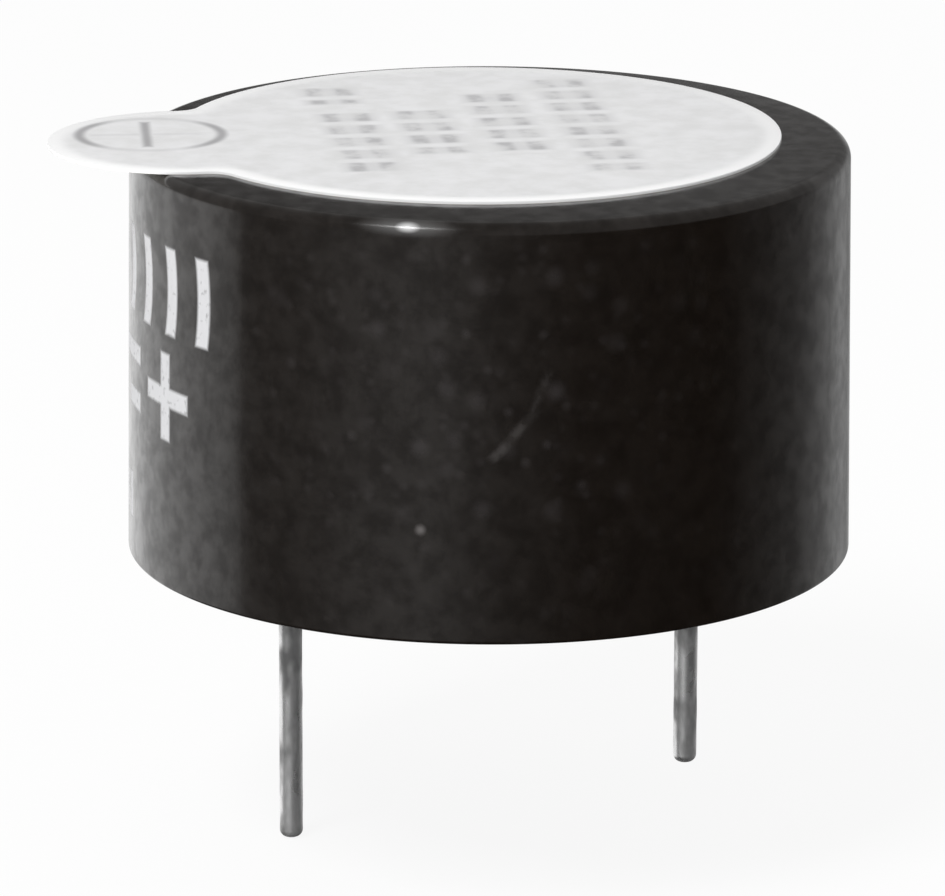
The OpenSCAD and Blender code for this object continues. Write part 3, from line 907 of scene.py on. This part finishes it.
# %% Label film
FILM_DULL, FILM_BRIGHT, FILM_EDGE_HIGHLIGHT = grey(231), colour(241, 241, 242), grey(253)
GREY_INK, GUM_DARK, GUM_PALE = colour(160, 159, 161), colour(224, 221, 211), colour(238, 236, 228)
EDGE_HIGHLIGHT_IN, EDGE_HIGHLIGHT_OUT = 0.2, 0.8
UPPER_FROM, UPPER_FULL = CASE_H + 0.02 * LABEL_T, CASE_H + 0.1 * LABEL_T
ROW_COVER, INK_COVER, WAVE_DULL, INK_MATT, RIPPLE_SHARE = 0.8, 0.85, 0.1, 0.12, 0.2


def stretched(vector, x, y, z):
    """The vector with each axis scaled, to draw a pattern out along one of them."""
    inputs = {0: vector, 1: (x, y, z)}
    return vector.finish.node("ShaderNodeVectorMath", {"operation": "MULTIPLY"}, inputs)


def label_film():
    finish = new_finish("label_film")
    x, y, z, place = millimetres(finish)
    upper = rise(z, UPPER_FROM, UPPER_FULL)
    # painted highlight: the film is painted whiter along its cut edge
    edge_highlight = 1 - rise(label_depth(x, y), EDGE_HIGHLIGHT_IN, EDGE_HIGHLIGHT_OUT)
    cloud = blotches(place, scale=0.9, detail=4, rough=0.65, low=0.3, high=0.7)
    ink = (ringed_plus(x, y) | ink_rows(x, y, place) * ROW_COVER) * upper
    face = paint(edge_highlight, paint(cloud, FILM_DULL, FILM_BRIGHT), FILM_EDGE_HIGHLIGHT)
    face = paint(ink * INK_COVER, face, GREY_INK)
    streak = blotches(stretched(place, 0.4, 2, 1), scale=1.2, low=0.35, high=0.65)
    wave, ripple = noise(place, scale=0.25, detail=2), noise(place, scale=2.5, detail=2)
    return close(
        finish,
        Base_Color=paint(upper, paint(streak, GUM_DARK, GUM_PALE), face),
        Roughness=level(upper, 0.24, 0.42) + WAVE_DULL * wave + INK_MATT * ink,
        Normal=bump(level(RIPPLE_SHARE, wave, ripple), depth_mm=0.02, strength=0.4),
        IOR=1.45,
    )


cut_label.data.materials.append(label_film())

# %% [markdown]
# ## The pins
# Each pin is drawn wire with a thicker shank that the resin grips and a flat head on the board.
# The tip is rounded so that it finds its hole. Tin is dipped on and runs as it freezes, so the
# free end is not quite straight-sided. A plain cylinder would do from afar, but a slow swell of a
# few thousandths of a millimetre breaks the mirror line along it, as on the real pin.

# %% The pin's profile
PIN_R, PIN_TIP_R, TIP_STEPS, PIN_STEP = 0.375, 0.25, 8, 0.25
SHANK_R, SHANK_Z, HEAD_R, HEAD_H = 0.65, 0.4, 1.0, 0.4
PIN_EDGE_R, PIN_EDGE_STEPS = 0.05, 3
SWELL, SWELL_WAVES = 0.0025, ((2.1, 0.4), (3.7, 1.9), (5.3, 4.1))


def swell(z, phase):
    return SWELL * sum(math.sin(rate * z + shift + phase) for rate, shift in SWELL_WAVES)


def pin_profile(free, phase):
    """Radius and height from the tip to the head, for a pin with some free length."""
    tip_at = (PIN_R - PIN_TIP_R, PIN_TIP_R - free)
    tip = [(0, -free)] + arc(tip_at, PIN_TIP_R, -90, 0, TIP_STEPS)
    count = int((free + SHANK_Z - 2 * PIN_TIP_R) / PIN_STEP)
    heights = [PIN_TIP_R - free + i * PIN_STEP for i in range(1, count)]
    stem = [(PIN_R + swell(z, phase), z) for z in heights]
    shank_at = (SHANK_R - PIN_EDGE_R, SHANK_Z + PIN_EDGE_R)
    shank = [(PIN_R, SHANK_Z)] + arc(shank_at, PIN_EDGE_R, -90, 0, PIN_EDGE_STEPS)
    head_at = (HEAD_R - PIN_EDGE_R, BOARD_TOP + HEAD_H - PIN_EDGE_R)
    head = [(SHANK_R, BOARD_TOP), (HEAD_R, BOARD_TOP)]
    head += arc(head_at, PIN_EDGE_R, 0, 90, PIN_EDGE_STEPS) + [(0, BOARD_TOP + HEAD_H)]
    return tip + stem + shank + head


print("pin:", 2 * PIN_R, "mm thick, shank", 2 * SHANK_R, "mm")

# %% [markdown]
# The two pins differ in length, so that nobody solders the buzzer in the wrong way round: the
# longer one is the positive one. One mesh could be scaled to make both, but that would squash the
# tip, so each is turned from its own profile, with its own phase of the swell.

# %% The drawn pins
PIN_PITCH, PIN_SIDES = 12.7, 48
POSITIVE_FREE, NEGATIVE_FREE = 10.0, 7.4
POSITIVE_PHASE, NEGATIVE_PHASE = 0, 2


def pin_rings(profile, at_x):
    turns = [2 * math.pi * i / PIN_SIDES for i in range(PIN_SIDES)]
    return [
        [(at_x + r * math.cos(a), r * math.sin(a), z) for a in turns] if r else [(at_x, 0, z)]
        for r, z in profile
    ]


positive_rings = pin_rings(pin_profile(POSITIVE_FREE, POSITIVE_PHASE), -PIN_PITCH / 2)
negative_rings = pin_rings(pin_profile(NEGATIVE_FREE, NEGATIVE_PHASE), PIN_PITCH / 2)
drawn_pins = [
    skin("drawn_pin_positive", positive_rings, "positive_pin"),
    skin("drawn_pin_negative", negative_rings, "negative_pin"),
]

# %% [markdown]
# ## Tin
# Tin freezes unevenly, so a tinned pin is a mottled grey metal, with dull and bright patches that
# run along it. A metal has no colour of its own under the shine: its base colour tints the mirror
# image, and roughness blurs it. Where the tin has dulled, its oxide scatters light as paint does,
# so the metal share drops there. The top of each pin, near the case, is darker: a painted shade,
# where the case shades it from above. An even brushed steel would be simpler, but it looks new and
# machined.

# %% Tinned pins
PIN_SHADE_LOW, PIN_SHADE_HIGH, PIN_SHADE_COVER, PIN_SHADE = -3.5, -2.2, 0.8, grey(52)
OXIDE_TOP, FINE_SHARE = 1.2, 0.3


def tinned(name, dark, bright, scale, draw, dull, smooth, oxide=0):
    """Tin in patches, drawn out along z, rough from dull to smooth, with some share of oxide; with
    oxide, the top near the case also gets a painted shade.
    """
    finish = new_finish(name)
    _, _, z, place = millimetres(finish)
    drawn = stretched(place, 1, 1, draw)
    patches = blotches(drawn, scale=scale, detail=2.5, low=0.33, high=0.66)
    fine = noise(stretched(place, 1, 1, 0.2), scale=14, detail=2)
    metal = paint(patches, dark, bright)
    if oxide:
        # painted shade: the pin's top, near the case, is painted darker where the case shades it
        metal = paint(PIN_SHADE_COVER * rise(z, PIN_SHADE_LOW, PIN_SHADE_HIGH), metal, PIN_SHADE)
    return close(
        finish,
        Base_Color=metal,
        Metallic=1 - oxide * (OXIDE_TOP - patches),
        Roughness=level(patches, dull, smooth),
        Normal=bump(level(FINE_SHARE, patches, fine), depth_mm=0.02, strength=0.3),
    )


tinned_pin = tinned(
    "tinned_pin", grey(130), grey(240), scale=1.25, draw=0.5, dull=0.42, smooth=0.26, oxide=0.5
)
for pin in drawn_pins:
    pin.data.materials.append(tinned_pin)

# %% [markdown]
# Leads and solder are the same metal, brighter and smoother: a lead is bought tinned, and solder
# was liquid a moment before it set. So the same finish serves, with other numbers. These pieces
# are the CAD nodes themselves, which keep their shape and only get dressed.

# %% Leads and solder
def dress(material, *names):
    """Gives the CAD nodes of these names one finish."""
    for name in names:
        nodes[name].data.materials.clear()
        nodes[name].data.materials.append(material)
    print(material.name, "dresses", ", ".join(names))


resistors = ("base_resistor", "collector_resistor", "feedback_resistor")
tinned_lead = tinned(
    "tinned_lead", grey(165), grey(222), scale=2.2, draw=0.3, dull=0.4, smooth=0.22
)
dress(tinned_lead, "transistor_leads", *[name + "_leads" for name in resistors])
solder = tinned("solder", grey(170), grey(225), scale=1.8, draw=1, dull=0.34, smooth=0.16)
dress(solder, "pin_solder", "board_solder", "sounder_solder")

# %% [markdown]
# ## The sounder
# The sounder is a thin brass plate with a ceramic disc bonded to it. Rolled brass keeps fine lines
# from the rolls and tarnishes in soft brown patches. The lines could be scratched in one by one;
# noise that is drawn out along x gives thousands of them in one node.

# %% Brass
BRASS_DARK, BRASS_PALE, BROWN_TARNISH = (
    colour(196, 158, 82), colour(218, 184, 108), colour(150, 108, 58)
)
TARNISH_COVER = 0.55


def sounder_brass():
    finish = new_finish("sounder_brass")
    _, _, _, place = millimetres(finish)
    rolled = noise(stretched(place, 0.15, 4, 1), scale=3)
    tarnish = blotches(place, scale=0.35, detail=4, rough=0.6, low=0.45, high=0.75)
    metal = paint(rolled, BRASS_DARK, BRASS_PALE)
    return close(
        finish,
        Base_Color=paint(tarnish * TARNISH_COVER, metal, BROWN_TARNISH),
        Metallic=1,
        Roughness=level(tarnish, 0.26, 0.44),
        Normal=bump(rolled, depth_mm=0.01, strength=0.3),
    )


dress(sounder_brass(), "piezo_plate")

# %% [markdown]
# The ceramic is fired without a glaze, so it is dull, cream and faintly speckled where a coarser
# grain shows. It is thin and hidden, so two patterns are enough: clouds for the firing and specks
# for the grain.

# %% Ceramic
CREAM_DARK, CREAM_PALE, GRAIN_BROWN = (
    colour(226, 217, 196), colour(236, 229, 212), colour(186, 172, 146)
)
SPECK_COVER = 0.5


def sounder_ceramic():
    finish = new_finish("sounder_ceramic")
    _, _, _, place = millimetres(finish)
    speck = blotches(place, scale=7, low=0.56, high=0.7)
    body = paint(noise(place, scale=0.5), CREAM_DARK, CREAM_PALE)
    return close(
        finish,
        Base_Color=paint(speck * SPECK_COVER, body, GRAIN_BROWN),
        Roughness=level(speck, 0.5, 0.65),
        Normal=bump(speck, depth_mm=0.005, strength=0.4),
    )


dress(sounder_ceramic(), "piezo_ceramic")

# %% [markdown]
# The silver electrodes are printed through a mesh and fired, so they keep the mesh's tiny squares.
# As geometry the squares would be a hundred thousand faces. Here a ping-pong along x and one along
# y are multiplied, which gives a pillow in each square, and a warm stain lies over them.

# %% Fired silver
MESH_PITCH = 0.16
SILVER, SILVER_STAIN, STAIN_COVER = colour(206, 205, 200), colour(170, 164, 150), 0.6


def fired_silver():
    finish = new_finish("fired_silver")
    x, y, _, place = millimetres(finish)
    across = x.math("PINGPONG", x, MESH_PITCH / 2) * (2 / MESH_PITCH)
    down = y.math("PINGPONG", y, MESH_PITCH / 2) * (2 / MESH_PITCH)
    stain = blotches(place, scale=0.6, detail=4, low=0.45, high=0.8)
    return close(
        finish,
        Base_Color=paint(stain * STAIN_COVER, SILVER, SILVER_STAIN),
        Metallic=1,
        Roughness=level(stain, 0.42, 0.57),
        Normal=bump(across * down, depth_mm=0.006, strength=0.5),
    )


dress(fired_silver(), "main_electrode", "feedback_electrode")

# %% [markdown]
# ## What holds things
# Milky silicone bonds the plate to the seat ring. It was laid as a bead and smoothed out, so its
# face has soft waves. Light that scatters inside it could be traced, but on a bead this small a
# cloudy white looks the same.

# %% Silicone
SILICONE_DARK, SILICONE_PALE = colour(212, 213, 210), colour(230, 231, 229)


def silicone_bond():
    finish = new_finish("silicone_bond")
    _, _, _, place = millimetres(finish)
    cloud = noise(place, scale=0.9)
    return close(
        finish,
        Base_Color=paint(cloud, SILICONE_DARK, SILICONE_PALE),
        Roughness=level(cloud, 0.3, 0.45),
        Normal=bump(cloud, depth_mm=0.03, strength=0.4),
    )


dress(silicone_bond(), "plate_bond")

# %% [markdown]
# The board is paper laminate: sheets of paper, soaked in resin and pressed. Its fibres show as
# fine tan streaks, so the noise is drawn out in the sheet and packed tight through its thickness.

# %% Board laminate
PAPER_DARK, PAPER_PALE, PAPER_SHADE = (
    colour(166, 120, 66), colour(196, 152, 94), colour(150, 104, 56)
)
SHADE_COVER = 0.4


def board_laminate():
    finish = new_finish("board_laminate")
    _, _, _, place = millimetres(finish)
    fibre = noise(stretched(place, 0.6, 2.4, 5), scale=2.2, detail=5, rough=0.7)
    body = paint(rise(fibre, 0.35, 0.7), PAPER_DARK, PAPER_PALE)
    return close(
        finish,
        Base_Color=paint(noise(place, scale=0.3) * SHADE_COVER, body, PAPER_SHADE),
        Roughness=level(fibre, 0.42, 0.58),
        Normal=bump(fibre, depth_mm=0.01, strength=0.4),
    )


dress(board_laminate(), "circuit_board")

# %% [markdown]
# Black resin closes the bottom. It is poured, so it sets with a slow wave, a few pin holes where
# air came out, and a gloss that dulls in patches. The CAD node has the meniscus; the rest is too
# shallow to model, so it is a bump.

# %% Potting resin
RESIN_DARK, RESIN_DULL, HOLE_SHADE = colour(17, 16, 17), colour(28, 27, 28), grey(8)
HOLE_CELLS, HOLE_IN, HOLE_OUT, HOLE_SHADE_COVER, HOLE_DEPTH = 0.55, 0.06, 0.1, 0.8, 0.3


def potting_resin():
    finish = new_finish("resin")
    _, _, _, place = millimetres(finish)
    wave = noise(place, scale=0.28, detail=2)
    dull = blotches(place, scale=0.7, detail=5, rough=0.65, low=0.45, high=0.7)
    cell = finish.node("ShaderNodeTexVoronoi", None, {"Vector": place, "Scale": HOLE_CELLS})
    hole = 1 - rise(cell, HOLE_IN, HOLE_OUT)
    body = paint(dull, RESIN_DARK, RESIN_DULL)
    return close(
        finish,
        # painted shade: the air holes are painted darker than the resin round them
        Base_Color=paint(hole * HOLE_SHADE_COVER, body, HOLE_SHADE),
        Roughness=level(dull, 0.16, 0.3),
        Normal=bump(wave - hole * HOLE_DEPTH, depth_mm=0.12, strength=0.5),
    )


dress(potting_resin(), "potting_resin")

# %% [markdown]
# ## The drive circuit
# A resistor is a ceramic rod with a cap pressed on each end, dipped in lacquer. The lacquer gathers
# on the caps and flows into the waist, so the body is waisted with soft hollows and no corner. Two
# balls and a rod could be joined, but a ring skin gives the flow and the holes for the leads at
# once.

# %% The dipped resistors
BODY_HALF, BODY_END_R, BODY_WAIST_R, FLOW_R = 1.7, 0.85, 0.725, 0.3
LEAD_R, LEAD_GRIP = 0.225, 0.4
BODY_SIDES, END_STEPS, FLOW_STEPS = 64, 16, 5


def body_profile():
    """Place along the axis and radius there, from the bottom of one lead's hole to the other's."""
    end_x = BODY_HALF - BODY_END_R
    flow_r = BODY_WAIST_R + FLOW_R
    flow_x = math.sqrt((BODY_END_R + FLOW_R) ** 2 - flow_r**2)
    meet_deg = math.degrees(math.atan2(flow_r, flow_x))
    hole_deg = 180 - math.degrees(math.asin(LEAD_R / BODY_END_R))
    half = [(LEAD_GRIP - BODY_HALF, 0), (LEAD_GRIP - BODY_HALF, LEAD_R)]
    half += arc((-end_x, 0), BODY_END_R, hole_deg, meet_deg, END_STEPS)
    half += arc((flow_x - end_x, flow_r), FLOW_R, 180 + meet_deg, 270, FLOW_STEPS)
    return half + [(-x, r) for x, r in reversed(half)]


def dipped(node):
    low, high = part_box(node)
    y, z = (low.y + high.y) / 2 / MM, (low.z + high.z) / 2 / MM
    turns = [2 * math.pi * i / BODY_SIDES for i in range(BODY_SIDES)]
    rings = [
        [(x, y + r * math.cos(a), z + r * math.sin(a)) for a in turns] if r else [(x, y, z)]
        for x, r in body_profile()
    ]
    return skin("dipped_" + node, rings, node)


dipped_bodies = {node: dipped(node) for node in resistors}

# %% [markdown]
# The resistors' pale lacquer is banded by a wheel, and each resistor has its own set of colours for
# its value. The bands could be rings of mesh, but paint is only a skin: they are masks along the
# body's own axis, each placed from the middle of its node, with slightly wavy edges.

# %% Banded lacquer
LACQUER_DARK, LACQUER_PALE = colour(140, 176, 198), colour(160, 194, 212)
BROWN, BLACK, RED = colour(92, 54, 34), grey(24), colour(178, 44, 36)
YELLOW, GREEN, BLUE = colour(222, 188, 52), colour(44, 120, 70), colour(42, 78, 150)
WHITE = colour(232, 232, 228)
BANDS = {
    "base_resistor": (BROWN, BLACK, BLACK, RED, BROWN),
    "collector_resistor": (YELLOW, BLUE, BLACK, BROWN, BROWN),
    "feedback_resistor": (GREEN, WHITE, BLACK, RED, BROWN),
}
BAND_PLACES = (-1.25, -0.65, -0.05, 0.5, 1.25)
BAND_HALF, BAND_SOFT, BAND_WAVER = 0.14, 0.03, 0.03


def banded_lacquer(node):
    finish = new_finish("resistor_lacquer_" + node)
    x, _, _, place = millimetres(finish)
    low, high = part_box(node)
    middle = (low.x + high.x) / 2 / MM
    cloud = noise(place, scale=1.1)
    coat = paint(cloud, LACQUER_DARK, LACQUER_PALE)
    for shift, tint in zip(BAND_PLACES, BANDS[node]):
        mask = band(x + BAND_WAVER * cloud, middle + shift, BAND_HALF, BAND_SOFT)
        coat = paint(mask, coat, tint)
    return close(
        finish,
        Base_Color=coat,
        Roughness=level(cloud, 0.24, 0.38),
        Normal=bump(cloud, depth_mm=0.04, strength=0.4),
    )


for node, body in dipped_bodies.items():
    body.data.materials.append(banded_lacquer(node))

# %% [markdown]
# The transistor is pressed from dark compound that is full of fine glass, so its skin is matt and
# gritty. Fine noise gives the grit, and the highest peaks of a still finer one are the glass
# grains,
# painted pale: partly the glass's own paler colour, partly a painted sparkle where it catches
# light.

# %% Moulding compound
COMPOUND_DARK, COMPOUND_PALE, GLASS_SPARKLE = colour(26, 26, 27), colour(44, 44, 45), colour(110, 110, 112)
GLASS_SPARKLE_COVER = 0.5


def moulding_compound():
    finish = new_finish("moulding_compound")
    _, _, _, place = millimetres(finish)
    grit = noise(place, scale=10, rough=0.7)
    # pale specks: glass grains, painted pale for their own colour and as a painted sparkle
    glass_sparkle = blotches(place, scale=22, detail=1, low=0.68, high=0.76)
    body = paint(grit, COMPOUND_DARK, COMPOUND_PALE)
    return close(
        finish,
        Base_Color=paint(glass_sparkle * GLASS_SPARKLE_COVER, body, GLASS_SPARKLE),
        Roughness=level(grit, 0.42, 0.62),
        Normal=bump(grit, depth_mm=0.015, strength=0.5),
    )


dress(moulding_compound(), "transistor_body")

# %% [markdown]
# ## The wires
# Three thin wires climb from the board to the sounder, black for the plate, red for the main
# electrode and blue for the feedback tongue. Each is bare where it is soldered. Sleeve and core
# could be two pieces, but the CAD node is one solid, so one finish holds both the insulation and
# the tinned core, and a mask by height parts them.

# %% Insulation
BARE_END, STRIP_SOFT = 0.70, 0.02
CORE_DARK, CORE_PALE = grey(168), grey(220)
SLEEVE_DULL, DRAW_DULL, CORE_ROUGH = 0.12, 0.1, 0.28


def insulated(name, node, dark, bright):
    finish = new_finish(name)
    _, _, z, place = millimetres(finish)
    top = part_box(node)[1].z / MM - BARE_END
    over_board = rise(z, BOARD_TOP - STRIP_SOFT, BOARD_TOP + STRIP_SOFT)
    sleeve = over_board & (1 - rise(z, top - STRIP_SOFT, top + STRIP_SOFT))
    drawn = noise(stretched(place, 1, 1, 0.2), scale=6)
    core = paint(drawn, CORE_DARK, CORE_PALE)
    return close(
        finish,
        Base_Color=paint(sleeve, core, paint(drawn, dark, bright)),
        Metallic=1 - sleeve,
        Roughness=CORE_ROUGH + SLEEVE_DULL * sleeve + DRAW_DULL * drawn,
        Normal=bump(drawn, depth_mm=0.01, strength=0.3),
    )


SLEEVES = {
    "plate_wire": ("black_insulation", colour(22, 22, 24), colour(40, 40, 43)),
    "main_wire": ("red_insulation", colour(158, 26, 24), colour(190, 42, 36)),
    "feedback_wire": ("blue_insulation", colour(24, 62, 140), colour(38, 84, 172)),
}
for node, (name, dark, bright) in SLEEVES.items():
    dress(insulated(name, node, dark, bright), node)

# %% [markdown]
# ## Finishing the file
# Looks never change the object's size. The last step lists the shown CAD nodes that have no finish.

# %% The last check
bare = [name for name, node in nodes.items() if not node.hide_render and not node.data.materials]
print("nodes without a finish:", bare or "none")
